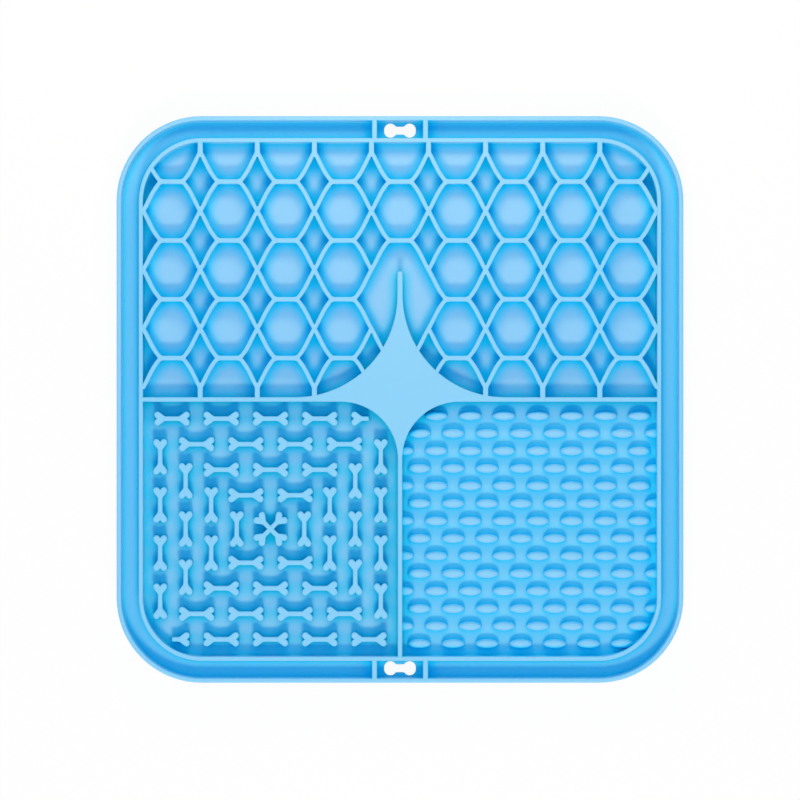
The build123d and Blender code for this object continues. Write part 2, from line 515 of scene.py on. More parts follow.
@dataclass(frozen=True)
class SatinSilicone:
    """Blue silicone with a satin mould finish, slightly cloudy and a little see-through at thin edges, with
    painted shade: a deeper, saturated blue blended into the base colour where an ambient occlusion mask
    finds recesses.
    """

    # Painted shade: the base colour turns to this deeper, saturated blue where walls and studs close in; the
    # reach is in millimetres, and the low and high ambient occlusion values set where the blend starts and
    # ends.
    painted_shade_colour: Colour = (0.000, 0.645, 1.000, 1.0)
    body: Colour = (0.268, 0.628, 0.925, 1.0)
    cloud: Colour = (0.288, 0.643, 0.935, 1.0)
    painted_shade_reach: float = 4.5
    painted_shade_low: float = 0.52
    painted_shade_high: float = 1.03
    painted_shade_samples: int = 8
    cloud_size: float = 26.0
    cloud_detail: float = 3.0
    grain_size: float = 0.55
    grain_detail: float = 2.0
    grain_height: float = 0.012
    grain_strength: float = 0.35
    roughness: float = 0.48
    roughness_swing: float = 0.10
    refraction: float = 1.41
    gloss: float = 0.12
    glow: float = 0.2
    glow_reach: tuple[float, float, float] = (0.25, 0.7, 1.2)
    bloom: float = 0.03
    bloom_spread: float = 0.5

    def make(self, name: str) -> bpy.types.Material:
        """Build the material.

        Args:
            name: Name of the material.

        Returns:
            The material.
        """
        material = bpy.data.materials.new(name)
        graph = Graph.of(material)
        spot = graph.node("ShaderNodeTexCoord", None, None, "Object")
        clouds = self._noise(graph, spot, self.cloud_size, self.cloud_detail)
        grain = self._noise(graph, spot, self.grain_size, self.grain_detail)
        # Painted shade: ambient occlusion within the reach blends the deep blue into the base colour in
        # recesses and at the feet of walls and studs.
        feeds = {"Distance": self.painted_shade_reach / MM_PER_M}
        sky = graph.node("ShaderNodeAmbientOcclusion", {"samples": self.painted_shade_samples}, feeds, "AO")
        unshaded_share = (sky - self.painted_shade_low) / (self.painted_shade_high - self.painted_shade_low)
        surface = graph.blend(clouds, self.body, self.cloud)
        colour = graph.blend(unshaded_share.at_least(0.0).at_most(1.0), self.painted_shade_colour, surface)
        rough = self.roughness + (grain + clouds - 1.0) * self.roughness_swing
        feeds = {"Height": grain, "Strength": self.grain_strength, "Distance": self.grain_height / MM_PER_M}
        relief = graph.node("ShaderNodeBump", None, feeds)
        shader = graph.node(
            "ShaderNodeBsdfPrincipled",
            None,
            {
                "Base Color": colour,
                "Roughness": rough,
                "Normal": relief,
                "IOR": self.refraction,
                "Specular IOR Level": self.gloss,
                "Subsurface Weight": self.glow,
                "Subsurface Radius": self.glow_reach,
                "Subsurface Scale": 1.0 / MM_PER_M,
                "Sheen Weight": self.bloom,
                "Sheen Roughness": self.bloom_spread,
            },
        )
        graph.node("ShaderNodeOutputMaterial", None, {"Surface": shader})
        return material

    def _noise(self, graph: Graph, spot: Sock, size: float, detail: float) -> Sock:
        """Soft noise about one half, with patches of a size in millimetres and finer layers in them."""
        feeds = {"Vector": spot, "Scale": MM_PER_M / size, "Detail": detail}
        return graph.node("ShaderNodeTexNoise", None, feeds)


@dataclass(frozen=True)
class PaleFloor:
    """White studio floor that shows white to the camera and keeps a soft shadow."""

    paint: Colour = (0.92, 0.92, 0.92, 1.0)
    lift: float = 0.93

    def make(self, name: str) -> bpy.types.Material:
        """Build the material.

        Args:
            name: Name of the material.

        Returns:
            The material.
        """
        material = bpy.data.materials.new(name)
        graph = Graph.of(material)
        lit = graph.node("ShaderNodeBsdfDiffuse", None, {"Color": self.paint})
        white = graph.node("ShaderNodeEmission", None, {"Color": WHITE, "Strength": 1.0})
        lifted = seen_share(graph) * self.lift
        shader = graph.node("ShaderNodeMixShader", None, {0: lifted, 1: lit, 2: white})
        graph.node("ShaderNodeOutputMaterial", None, {"Surface": shader})
        return material


@dataclass
class Levels:
    """What the pieces share: heights and half widths, read from the frame, and their one finish."""

    finish: bpy.types.Material
    wall_t: float = 1.65
    rim_t: float = 1.9
    corner_r: float = 30.0
    star_tip_t: float = 1.9
    overlap: float = 0.8
    step_down: float = 0.02

    def __post_init__(self) -> None:
        """Read the frame."""
        floor_low, floor_high = box_mm("honeycomb_floor")
        rim, wall, divider = (box_mm(node)[1] for node in ("outer_rim", "inner_wall", "left_divider"))
        self.under, self.tread, self.top = floor_low.z, floor_high.z, rim.z
        self.edge, self.wall_outside, self.half_divider = rim.x, wall.x, divider.y

    @property
    def field(self) -> float:
        """Half side of the space inside the inner wall."""
        return self.wall_outside - self.wall_t

    def corner(self, reach: float) -> float:
        """Radius of the round corner at a half side, concentric with the mat's own corner."""
        return self.corner_r - (self.edge - reach)

    @property
    def foot(self) -> float:
        """Height of the hidden foot of everything that stands on the floor."""
        return self.tread - self.overlap


@dataclass
class Piece:
    """A finished mesh and the frame nodes that it stands for."""

    shape: bpy.types.Object
    nodes: tuple[str, ...]
    crisp: bool = True
    cut_angle: float = math.radians(50)
    flat_weight: int = 100

    def dress(self, finish: bpy.types.Material) -> None:
        """Smooth the piece, scale it to metres, and hand it to the frame.

        Args:
            finish: Its material.
        """
        mesh = self.shape.data
        mesh.materials.clear()
        mesh.materials.append(finish)
        mesh.shade_smooth()
        if self.crisp:
            normals = self.shape.modifiers.new("even_normals", "WEIGHTED_NORMAL")
            normals.weight = self.flat_weight
            settle(self.shape)
        else:
            mesh.set_sharp_from_angle(angle=self.cut_angle)
        self.shape.data.transform(Matrix.Scale(1 / MM_PER_M, 4))
        self.shape.data.name = self.shape.name
        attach(self.shape, BODY)
        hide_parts(*self.nodes)
        LOG.info("%s: %d faces", self.shape.name, len(self.shape.data.polygons))


@dataclass
class BaseSheet:
    """Floor of all three fields and the gutter, with a bone-shaped hang hole at the rear and the front."""

    levels: Levels
    hole_length: float = 11.2
    hole_span: float = 5.05
    hole_neck: float = 2.85
    lobe_r: float = 2.2
    waist_r: float = 0.9
    lobe_steps: int = 12
    waist_steps: int = 5
    corner_steps: int = 16
    edge_r: float = 0.25
    edge_steps: int = 3

    def hole(self) -> list[Point]:
        """Outline of a hang hole: two round ends with a straight waist between them.

        Returns:
            The outline about its own middle.
        """
        lobe_x, lobe_y = self.hole_length / 2 - self.lobe_r, self.hole_span / 2 - self.lobe_r
        bend_y = self.hole_neck / 2 + self.waist_r
        bend_x = lobe_x - math.sqrt((self.lobe_r + self.waist_r) ** 2 - (bend_y - lobe_y) ** 2)
        meet = math.degrees(math.atan2(bend_y - lobe_y, bend_x - lobe_x))
        quarter = arc((lobe_x, lobe_y), self.lobe_r, 0, meet, self.lobe_steps)
        quarter += arc((bend_x, bend_y), self.waist_r, meet - 180, -90, self.waist_steps)[1:]
        return mirrored_twice(quarter)

    def build(self) -> list[Piece]:
        """Make the sheet.

        Returns:
            The sheet.
        """
        levels = self.levels
        reach = levels.edge - levels.rim_t / 2
        gutter_mid = (levels.edge - levels.rim_t + levels.wall_outside) / 2
        loops = [rounded_square(reach, levels.corner(reach), self.corner_steps)]
        for side in (-1, 1):
            loops.append([(x, y + side * gutter_mid) for x, y in self.hole()])
        drawing = bmesh.new()
        edges = []
        for loop in loops:
            ring = [drawing.verts.new((x, y, levels.tread)) for x, y in loop]
            edges += [drawing.edges.new((a, b)) for a, b in zip(ring, ring[1:] + ring[:1])]
        bmesh.ops.triangle_fill(drawing, use_beauty=True, edges=edges)
        extrude_down(drawing, levels.tread - levels.under)
        for height in (levels.tread, levels.under):
            ease_top(drawing, height, self.edge_r, self.edge_steps)
        floors = ("honeycomb_floor", "bone_floor", "oval_floor", "left_gutter_floor", "right_gutter_floor")
        tabs = ("rear_hanger_tab", "front_hanger_tab")
        return [Piece(mesh_of("base_sheet", drawing), floors + tabs)]


@dataclass
class GutterWalls:
    """Outer rim and inner wall, swept round the mat, and the ribs that close off the hanger bays."""

    levels: Levels
    rim_top_t: float = 1.55
    rim_foot_t: float = 1.75
    wall_top_t: float = 1.5
    rim_round: float = 0.7
    edge_round: float = 0.35
    base_fillet: float = 0.35
    arc_steps: int = 4
    corner_steps: int = 18
    bay_rib_t: float = 1.8

    def rim_profile(self) -> list[Point]:
        """Section of the outer rim: x outwards from the mat's edge, y up from the top.

        Returns:
            The closed section.
        """
        levels = self.levels
        drop, floor = levels.under - levels.top + levels.step_down, levels.tread - levels.top
        foot, fillet, edge = -self.rim_foot_t, self.base_fillet, self.edge_round
        steps, rim = self.arc_steps, self.rim_round
        section = arc((-rim, -rim), rim, 0, 90, steps)
        section += arc((edge - self.rim_top_t, -edge), edge, 90, 180, steps)
        section += arc((foot - fillet, floor + fillet), fillet, 0, -90, steps)
        section += [(foot - fillet, floor - levels.overlap), (foot / 2, drop)]
        return section + arc((-edge, drop + edge), edge, -90, 0, steps)

    def wall_profile(self) -> list[Point]:
        """Section of the inner wall: x outwards from its outer face, y up from the top.

        Returns:
            The closed section.
        """
        levels = self.levels
        floor, inside = levels.tread - levels.top, -levels.wall_t
        draft = (levels.wall_t - self.wall_top_t) / 2
        fillet, edge, steps = self.base_fillet, self.edge_round, self.arc_steps
        section = arc((-draft - edge, -edge), edge, 0, 90, steps)
        section += arc((inside + draft + edge, -edge), edge, 90, 180, steps)
        section += arc((inside - fillet, floor + fillet), fillet, 0, -90, steps)
        section += [(inside - fillet, floor - levels.overlap), (fillet, floor - levels.overlap)]
        return section + arc((fillet, floor + fillet), fillet, -90, -180, steps)

    def sweep_recipe(self) -> Recipe:
        """Tree that carries a section round a square path with round corners.

        Returns:
            The finished tree.
        """
        recipe = Recipe("section_round_square")
        side, radius, height = map(recipe.ask, ("Side", "Corner Radius", "Height"))
        sides = {"Width": side, "Height": side}
        square = recipe.node("GeometryNodeCurvePrimitiveQuadrilateral", None, sides)
        rounding = {"Curve": square, "Radius": radius, "Count": recipe.ask("Corner Steps", "Int")}
        path = recipe.node("GeometryNodeFilletCurve", {"mode": "POLY"}, rounding)
        feeds = {"Curve": path, "Profile Curve": recipe.shape("Section")}
        swept = recipe.node("GeometryNodeCurveToMesh", None, feeds)
        lift = recipe.node("ShaderNodeCombineXYZ", None, {"Z": height})
        recipe.close(recipe.node("GeometryNodeTransform", None, {"Geometry": swept, "Translation": lift}))
        return recipe

    def section_curve(self, section: Sequence[Point]) -> bpy.types.Object:
        """Closed flat curve for a section, turned over because the sweep lays a curve's y axis downwards.

        Args:
            section: Points of the section.

        Returns:
            The curve, to be discarded after use.
        """
        curve = bpy.data.curves.new("section", "CURVE")
        spline = curve.splines.new("POLY")
        spline.points.add(len(section) - 1)
        for point, (x, y) in zip(spline.points, section):
            point.co = (x, -y, 0, 1)
        spline.use_cyclic_u = True
        return put_in_scene("section", curve)

    def build(self) -> list[Piece]:
        """Make the rim, the wall and the bay ribs.

        Returns:
            The four pieces.
        """
        levels = self.levels
        recipe = self.sweep_recipe()
        pieces = []
        for name, section, reach in (
            ("outer_rim", self.rim_profile(), levels.edge),
            ("inner_wall", self.wall_profile(), levels.wall_outside),
        ):
            curve = self.section_curve(section)
            inputs = {
                "Side": 2 * reach,
                "Corner Radius": levels.corner(reach),
                "Corner Steps": self.corner_steps,
                "Section": curve,
                "Height": levels.top,
            }
            ring = recipe.grow(f"{name}_ring", inputs, levels.finish)
            discard(curve)
            face_outwards(ring)
            pieces.append(Piece(ring, (name,)))
        return pieces + self.bay_ribs()

    def bay_ribs(self) -> list[Piece]:
        """Make the ribs at both sides of each hanger bay.

        Returns:
            The rear and the front pair.
        """
        levels = self.levels
        scatter = StudScatter(levels.finish)
        inner, outer = levels.wall_outside - levels.overlap, levels.edge - levels.overlap
        half = self.bay_rib_t / 2
        plan = [(half, outer), (-half, outer), (-half, inner), (half, inner)]
        pieces = []
        for name, side in (("rear_hanger_ribs", 1), ("front_hanger_ribs", -1)):
            low, high = box_mm(name)
            outline = [(x, side * y) for x, y in plan]
            top = levels.top - levels.step_down
            rib = raised_block("rib", outline, levels.foot, top, self.edge_round, self.arc_steps)
            places = [(low.x + half, 0.0), (high.x - half, 0.0)]
            pair = scatter.stand(f"{name}_pair", rib, StudTurn.ACROSS, places)
            discard(rib)
            pieces.append(Piece(pair, (name,)))
        return pieces


@dataclass
class StarCross:
    """Four-pointed star in the middle and the three dividers that run from it to the wall."""

    levels: Levels
    tip_round: float = 0.6
    tip_steps: int = 4
    edge_round: float = 0.40
    edge_steps: int = 4
    arc_steps: int = 28

    def right_half(self) -> list[Point]:
        """Right half of the plan, from the rear tip to the front divider's end.

        Returns:
            The points in order.
        """
        levels = self.levels
        low, high = box_mm("centre_star")
        half, tip = levels.half_divider, levels.star_tip_t / 2
        rear_r = high.x - tip
        front_r = -low.y - half
        reach = levels.field + levels.overlap
        plan = arc((tip - self.tip_round, high.y - self.tip_round), self.tip_round, 90, 0, self.tip_steps)
        plan += arc((high.x, half + rear_r), rear_r, 180, 270, self.arc_steps)
        plan += [(reach, half), (reach, -half)]
        plan += arc((half + front_r, low.y), front_r, 90, 180, self.arc_steps)
        return plan + [(half, -reach)]

    def build(self) -> list[Piece]:
        """Make the star with its dividers.

        Returns:
            The one piece.
        """
        levels = self.levels
        top = levels.top - levels.step_down
        outline = mirrored(self.right_half())
        star = raised_block("star_cross", outline, levels.foot, top, self.edge_round, self.edge_steps)
        return [Piece(star, ("centre_star", "left_divider", "right_divider", "lower_divider"))]


@dataclass(eq=False)
class Rib:
    """Centreline of one honeycomb rib, which may bow to one side, most a third of the way along."""

    start: Point
    end: Point
    thick: float
    bow: Vector = field(default_factory=lambda: Vector((0.0, 0.0)))
    kept: tuple[float, float] = (0.0, 1.0)

    def along(self, share: float) -> float:
        """Share of the whole rib at a share of its kept part."""
        first, last = self.kept
        return first + (last - first) * share

    def at(self, share: float) -> Vector:
        """Point on the centreline at a share of its kept part."""
        whole = self.along(share)
        straight = Vector(self.start).lerp(Vector(self.end), whole)
        return straight + self.bow * (BOW_PEAK * whole * (1 - whole) ** 2)

    def heading(self, share: float) -> Vector:
        """Unit direction of the centreline at a share of its kept part."""
        whole = self.along(share)
        straight = Vector(self.end) - Vector(self.start)
        return (straight + self.bow * (BOW_PEAK * (1 - whole) * (1 - 3 * whole))).normalized()

    @property
    def length(self) -> float:
        """Straight length of the kept part."""
        return (self.at(1.0) - self.at(0.0)).length


@dataclass
class Spoke:
    """One rib as it leaves a knot of the honeycomb, with the corners where it parts from the knot."""

    rib: Rib
    leaves_start: bool
    corners: dict[str, bmesh.types.BMVert] = field(default_factory=dict)
    clear: float = 0.0

    @property
    def heading(self) -> Vector:
        """Unit direction away from the knot."""
        return self.rib.heading(0.0) if self.leaves_start else -self.rib.heading(1.0)

    @property
    def angle(self) -> float:
        """Direction away from the knot as an angle from zero to a whole turn."""
        return math.atan2(self.heading.y, self.heading.x) % (2 * math.pi)


@dataclass
class Honeycomb:
    """Net of bowed ribs behind the dividers, cut off at the star and buried in the wall."""

    levels: Levels
    columns: int = 9
    rows: int = 4
    tip_cell: tuple[int, int] = (4, 1)
    flat: float = 7.5
    stem: float = 3.4
    rib_t: float = 1.6
    flat_t: float = 1.55
    slant_t: float = 1.42
    stem_t: float = 1.75
    bow: float = 0.50
    bury: float = 0.45
    blunt_fillet: float = 2.2
    sharp_fillet: float = 0.3
    sharp_angle: float = math.radians(125)
    widest_corner: float = math.pi - 0.01
    rib_steps: int = 7
    fillet_steps: int = 4
    edge_round: float = 0.38
    edge_steps: int = 3

    def __post_init__(self) -> None:
        """Work out the pitches from the frame."""
        low, high = box_mm("honeycomb_flats")
        self.pitch_x = (high.x - low.x - self.flat) / (self.columns - 1)
        self.pitch_y = (high.y - low.y - self.rib_t) / (self.rows - 1)
        self.first_y = self.levels.half_divider + self.stem
        _, star_high = box_mm("centre_star")
        self.star_r = star_high.x - self.levels.star_tip_t / 2
        self.star_hollow = Vector((star_high.x, self.levels.half_divider + self.star_r))

    def crossing(self, column: int, row: int) -> Point:
        """Plan point where slanted ribs cross."""
        return ((column - self.columns / 2) * self.pitch_x, self.first_y + row * self.pitch_y)

    def inside(self, point: Vector) -> bool:
        """Test whether a point is in the field, or no deeper than a rib may be buried beside it.

        Args:
            point: Plan point.

        Returns:
            True if a rib may reach the point.
        """
        levels = self.levels
        reach = levels.field + self.bury
        radius = levels.corner(levels.field) + self.bury
        from_corner = Vector((abs(point.x) - reach + radius, point.y - reach + radius))
        in_corner = from_corner.x > 0 and from_corner.y > 0 and from_corner.length > radius
        from_hollow = Vector((abs(point.x), point.y)) - self.star_hollow
        in_star = from_hollow.x < 0 and from_hollow.y < 0 and from_hollow.length > self.star_r + self.bury
        return not in_corner and not in_star

    def ribs(self) -> list[Rib]:
        """All ribs of the net, before they are cut off.

        Returns:
            Flat, slanted and upright ribs.
        """
        levels = self.levels
        made = []
        for column in range(self.columns):
            for row in range(self.rows):
                if (column, row) == self.tip_cell:
                    continue
                middle = self.crossing(column, row)[0] + self.pitch_x / 2
                level = self.first_y + (row + 0.5) * self.pitch_y
                knots = [(middle + side * self.flat / 2, level) for side in (-1, 1)]
                made.append(Rib(*knots, self.flat_t))
                for knot, side in zip(knots, (column, column + 1)):
                    made += [self.slant(knot, self.crossing(side, row + step)) for step in (0, 1)]
        for side in range(1, self.columns):
            x = self.crossing(side, 0)[0]
            made.append(Rib(self.crossing(side, 0), (x, levels.half_divider), self.stem_t))
            made.append(Rib(self.crossing(side, self.rows), (x, levels.field + self.bury), self.stem_t))
        return made

    def slant(self, knot: Point, crossing: Point) -> Rib:
        """Slanted rib from the end of a flat one to a crossing, bowed out of its hexagon.

        Args:
            knot: End of the flat rib.
            crossing: Crossing that it runs to.

        Returns:
            The bowed rib.
        """
        along = Vector(crossing) - Vector(knot)
        outwards = Vector((-along.y, along.x)).normalized()
        if outwards.x * along.x < 0:
            outwards = -outwards
        return Rib(knot, crossing, self.slant_t, outwards * self.bow)

    def cut_off(self, rib: Rib) -> Rib | None:
        """Shorten a rib to the field.

        Args:
            rib: Rib that may leave the field.

        Returns:
            The rib itself, its part inside the field, or nothing.
        """
        def reaches(share: float) -> bool:
            """Test whether the rib is in the field at a share of its length."""
            return self.inside(rib.at(share))

        if not reaches(0.0) and not reaches(1.0):
            return None
        first = 0.0 if reaches(0.0) else turning_point(reaches, 1.0, 0.0)
        last = 1.0 if reaches(1.0) else turning_point(reaches, 0.0, 1.0)
        return replace(rib, kept=(first, last))

    def knot_face(self, drawing: bmesh.types.BMesh, place: Vector, spokes: list[Spoke], top: float) -> None:
        """Draw the flat top of one knot, with a fillet in every corner between its ribs.

        Args:
            drawing: Drawing to add to.
            place: Plan point of the knot.
            spokes: Ribs that leave it, which get their corners.
            top: Height of the top.
        """
        spokes.sort(key=lambda spoke: spoke.angle)
        ring: list[tuple[str, Spoke | None, Vector]] = []
        for spoke, following in zip(spokes, spokes[1:] + spokes[:1]):
            gap = (following.angle - spoke.angle) % (2 * math.pi) or 2 * math.pi
            left = Vector((-spoke.heading.y, spoke.heading.x))
            if gap < self.widest_corner:
                radius = self.sharp_fillet if gap < self.sharp_angle else self.blunt_fillet
                near, far = spoke.rib.thick / 2 + radius, following.rib.thick / 2 + radius
                clear = (far + near * math.cos(gap)) / math.sin(gap)
                next_clear = (near + far * math.cos(gap)) / math.sin(gap)
                centre = place + spoke.heading * clear + left * near
                start, end = math.degrees(spoke.angle) - 90, math.degrees(spoke.angle + gap) - 270
            else:
                clear = next_clear = 0.0
                centre, radius = place, spoke.rib.thick / 2
                start, end = math.degrees(spoke.angle) + 90, math.degrees(spoke.angle + gap) - 90
            points = arc(tuple(centre), radius, start, end, self.fillet_steps)
            ring.append(("left", spoke, Vector(points[0])))
            ring += [("", None, Vector(point)) for point in points[1:-1]]
            ring.append(("right", following, Vector(points[-1])))
            spoke.clear = max(spoke.clear, clear)
            following.clear = max(following.clear, next_clear)
        corners = []
        for side, spoke, point in ring:
            corner = drawing.verts.new((point.x, point.y, top))
            if spoke is not None:
                spoke.corners[side] = corner
            corners.append(corner)
        drawing.faces.new(corners)

    def rib_strip(self, drawing: bmesh.types.BMesh, rib: Rib, out: Spoke, back: Spoke, top: float) -> None:
        """Draw the flat top of one rib between its two knots.

        Args:
            drawing: Drawing to add to.
            rib: Rib to draw.
            out: The rib as it leaves its first knot.
            back: The rib as it leaves its second knot.
            top: Height of the top.
        """
        half = rib.thick / 2
        first, last = out.clear / rib.length, 1 - back.clear / rib.length
        lefts, rights = [out.corners["left"]], [out.corners["right"]]
        steps = self.rib_steps if rib.bow.length > 0 else 1
        for i in range(1, steps):
            share = first + (last - first) * i / steps
            middle, heading = rib.at(share), rib.heading(share)
            side = Vector((-heading.y, heading.x)) * half
            lefts.append(drawing.verts.new((*(middle + side), top)))
            rights.append(drawing.verts.new((*(middle - side), top)))
        lefts.append(back.corners["right"])
        rights.append(back.corners["left"])
        for i in range(len(lefts) - 1):
            drawing.faces.new((rights[i], rights[i + 1], lefts[i + 1], lefts[i]))

    def build(self) -> list[Piece]:
        """Make the net.

        Returns:
            The one piece.
        """
        levels = self.levels
        top = levels.top - 2 * levels.step_down
        ribs = [kept for kept in map(self.cut_off, self.ribs()) if kept is not None]
        knots: dict[tuple[int, int], list[Spoke]] = {}
        places: dict[tuple[int, int], Vector] = {}
        pairs = []
        for rib in ribs:
            pair = []
            for point, leaves_start in ((rib.at(0.0), True), (rib.at(1.0), False)):
                key = (round(point.x / WELD), round(point.y / WELD))
                places.setdefault(key, point)
                pair.append(Spoke(rib, leaves_start))
                knots.setdefault(key, []).append(pair[-1])
            pairs.append((rib, *pair))
        drawing = bmesh.new()
        for key, spokes in knots.items():
            self.knot_face(drawing, places[key], spokes, top)
        for rib, out, back in pairs:
            self.rib_strip(drawing, rib, out, back, top)
        bmesh.ops.remove_doubles(drawing, verts=drawing.verts[:], dist=WELD)
        extrude_down(drawing, top - levels.foot)
        ease_top(drawing, top, self.edge_round, self.edge_steps)
        net = mesh_of("honeycomb_net", drawing)
        return [Piece(net, ("honeycomb_flats", "honeycomb_slants", "honeycomb_stems"))]


@dataclass
class BoneStuds:
    """Bone-shaped studs in square rings round a crossed pair."""

    levels: Levels
    length: float = 12.6
    crossed_length: float = 13.6
    span: float = 5.05
    shaft: float = 1.65
    arm_r: float = 1.18
    notch_depth: float = 0.98
    least_tilt: float = 0.2
    flare_r: float = 1.3
    arm_steps: int = 9
    flare_steps: int = 5
    rings: int = 4
    core: float = 2.9
    edge_round: float = 0.42
    edge_steps: int = 3

    def __post_init__(self) -> None:
        """Work out the heights and the spacing from the frame."""
        low, high = box_mm("bone_studs_across")
        up_low, up_high = box_mm("bone_studs_upright")
        self.top = high.z
        self.middle = Vector(((low.x + high.x) / 2, (low.y + high.y) / 2))
        self.step_across = (high.x - low.x - self.length) / self.rings
        self.step_upright = (up_high.y - up_low.y - self.length) / (self.rings - 1)
        knob_drop = (high.y - low.y) / 2 + self.span / 2
        self.ring_pitch = (knob_drop - self.span - self.core) / self.rings

    def outline(self, length: float) -> list[Point]:
        """Plan of a bone: a straight shaft that forks into two round arms at each end.

        Args:
            length: Length over all.

        Returns:
            The outline about its own middle.
        """
        tip = Vector((length / 2 - self.arm_r, self.span / 2 - self.arm_r))
        notch = length / 2 - self.notch_depth
        tilt = self.arm_tilt(tip, notch)
        start, end = math.degrees(tilt) - 90, math.degrees(tilt) + 90
        arm = arc(tuple(tip), self.arm_r, start, end, self.arm_steps)
        inner = Vector(arm[-1])
        half = self.shaft / 2
        root_x = inner.x - (inner.y - half) / math.tan(tilt)
        reach = self.flare_r * math.tan(tilt / 2)
        flare = (root_x - reach, half + self.flare_r)
        bend = arc(flare, self.flare_r, start, -90, self.flare_steps)
        return mirrored_twice([(notch, 0.0)] + arm + bend)

    def arm_tilt(self, tip: Vector, notch: float) -> float:
        """Angle between the shaft and an arm whose outer edge starts at the notch.

        Args:
            tip: Middle of the arm's round end.
            notch: Distance of the notch from the bone's middle.

        Returns:
            The angle in radians.
        """
        def starts_short(tilt: float) -> bool:
            """Test whether the arm's outer edge meets the bone's axis before the notch."""
            return tip.x - tip.y / math.tan(tilt) + self.arm_r / math.sin(tilt) < notch

        return turning_point(starts_short, self.least_tilt, math.pi / 2)

    def places(self) -> tuple[list[Point], list[Point]]:
        """Middles of the bones, ring by ring.

        Returns:
            Those that lie across and those that stand upright.
        """
        across, upright = [], []
        for ring in range(1, self.rings + 1):
            offset = self.core + self.ring_pitch * ring
            for side in (-1, 1):
                across += [((i - ring / 2) * self.step_across, side * offset) for i in range(ring + 1)]
                upright += [(side * offset, (i - (ring - 1) / 2) * self.step_upright) for i in range(ring)]
        return [self.shift(p) for p in across], [self.shift(p) for p in upright]

    def shift(self, point: Point) -> Point:
        """Plan point for one given from the middle of the field."""
        return (self.middle.x + point[0], self.middle.y + point[1])

    def stud(self, outline: Sequence[Point]) -> bpy.types.Object:
        """One stud on an outline."""
        return raised_block("stud", outline, self.levels.foot, self.top, self.edge_round, self.edge_steps)

    def right_end(self, length: float, root: float) -> list[Point]:
        """Points of a bone to the right of a root, from the lower side round to the upper one."""
        right = [p for p in self.outline(length) if p[0] > root]
        return [p for p in right if p[1] < 0] + [p for p in right if p[1] >= 0]

    def half_stud(self, kept: KeptHalf) -> bpy.types.Object:
        """Stud cut off square at its middle.

        Args:
            kept: Half to keep.

        Returns:
            The half stud.
        """
        half, sign = self.shaft / 2, kept.value
        outline = self.right_end(self.length, 0.0) + [(0.0, half), (0.0, -half)]
        return self.stud([(sign * x, sign * y) for x, y in outline])

    def build(self) -> list[Piece]:
        """Make all bones.

        Returns:
            Bones across, bones upright, the two halves, and the crossed pair.
        """
        scatter = StudScatter(self.levels.finish)
        across, upright = self.places()
        halves = {KeptHalf.LEFT: max(across), KeptHalf.RIGHT: min(across)}
        whole = [place for place in across if place not in halves.values()]
        bone = self.stud(self.outline(self.length))
        pieces = []
        for name, places, turn in (
            ("bone_studs_across", whole, StudTurn.ACROSS),
            ("bone_studs_upright", upright, StudTurn.UPRIGHT),
        ):
            pieces.append(Piece(scatter.stand(f"{name}_set", bone, turn, places), (name,)))
        discard(bone)
        return pieces + [self.half_bones(halves), self.crossed_pair()]

    def half_bones(self, halves: dict[KeptHalf, Point]) -> Piece:
        """Make the two halves that the star and the wall leave room for.

        Args:
            halves: Place of each half.

        Returns:
            Both halves as one piece.
        """
        drawing = bmesh.new()
        for kept, (x, y) in halves.items():
            stud = self.half_stud(kept)
            stud.data.transform(Matrix.Translation((x, y, 0)))
            drawing.from_mesh(stud.data)
            discard(stud)
        return Piece(mesh_of("half_bone_studs_set", drawing), ("half_bone_studs",))

    def crossed_pair(self) -> Piece:
        """Make the crossed pair as one block on the outline of both bones.

        Returns:
            The crossed pair.
        """
        root = self.shaft / math.sqrt(2)
        arm = self.right_end(self.crossed_length, root)
        outline: list[Point] = []
        for quarter in range(4):
            turn = math.pi / 4 + quarter * math.pi / 2
            spin = Matrix.Rotation(turn, 2)
            outline += [tuple(spin @ Vector(p)) for p in arm]
            notch = Vector((math.cos(turn + math.pi / 4), math.sin(turn + math.pi / 4))) * root
            outline.append(tuple(notch))
        pair = self.stud([self.shift(p) for p in outline])
        pair.name = "crossed_bones_pair"
        return Piece(pair, ("crossed_bones",))


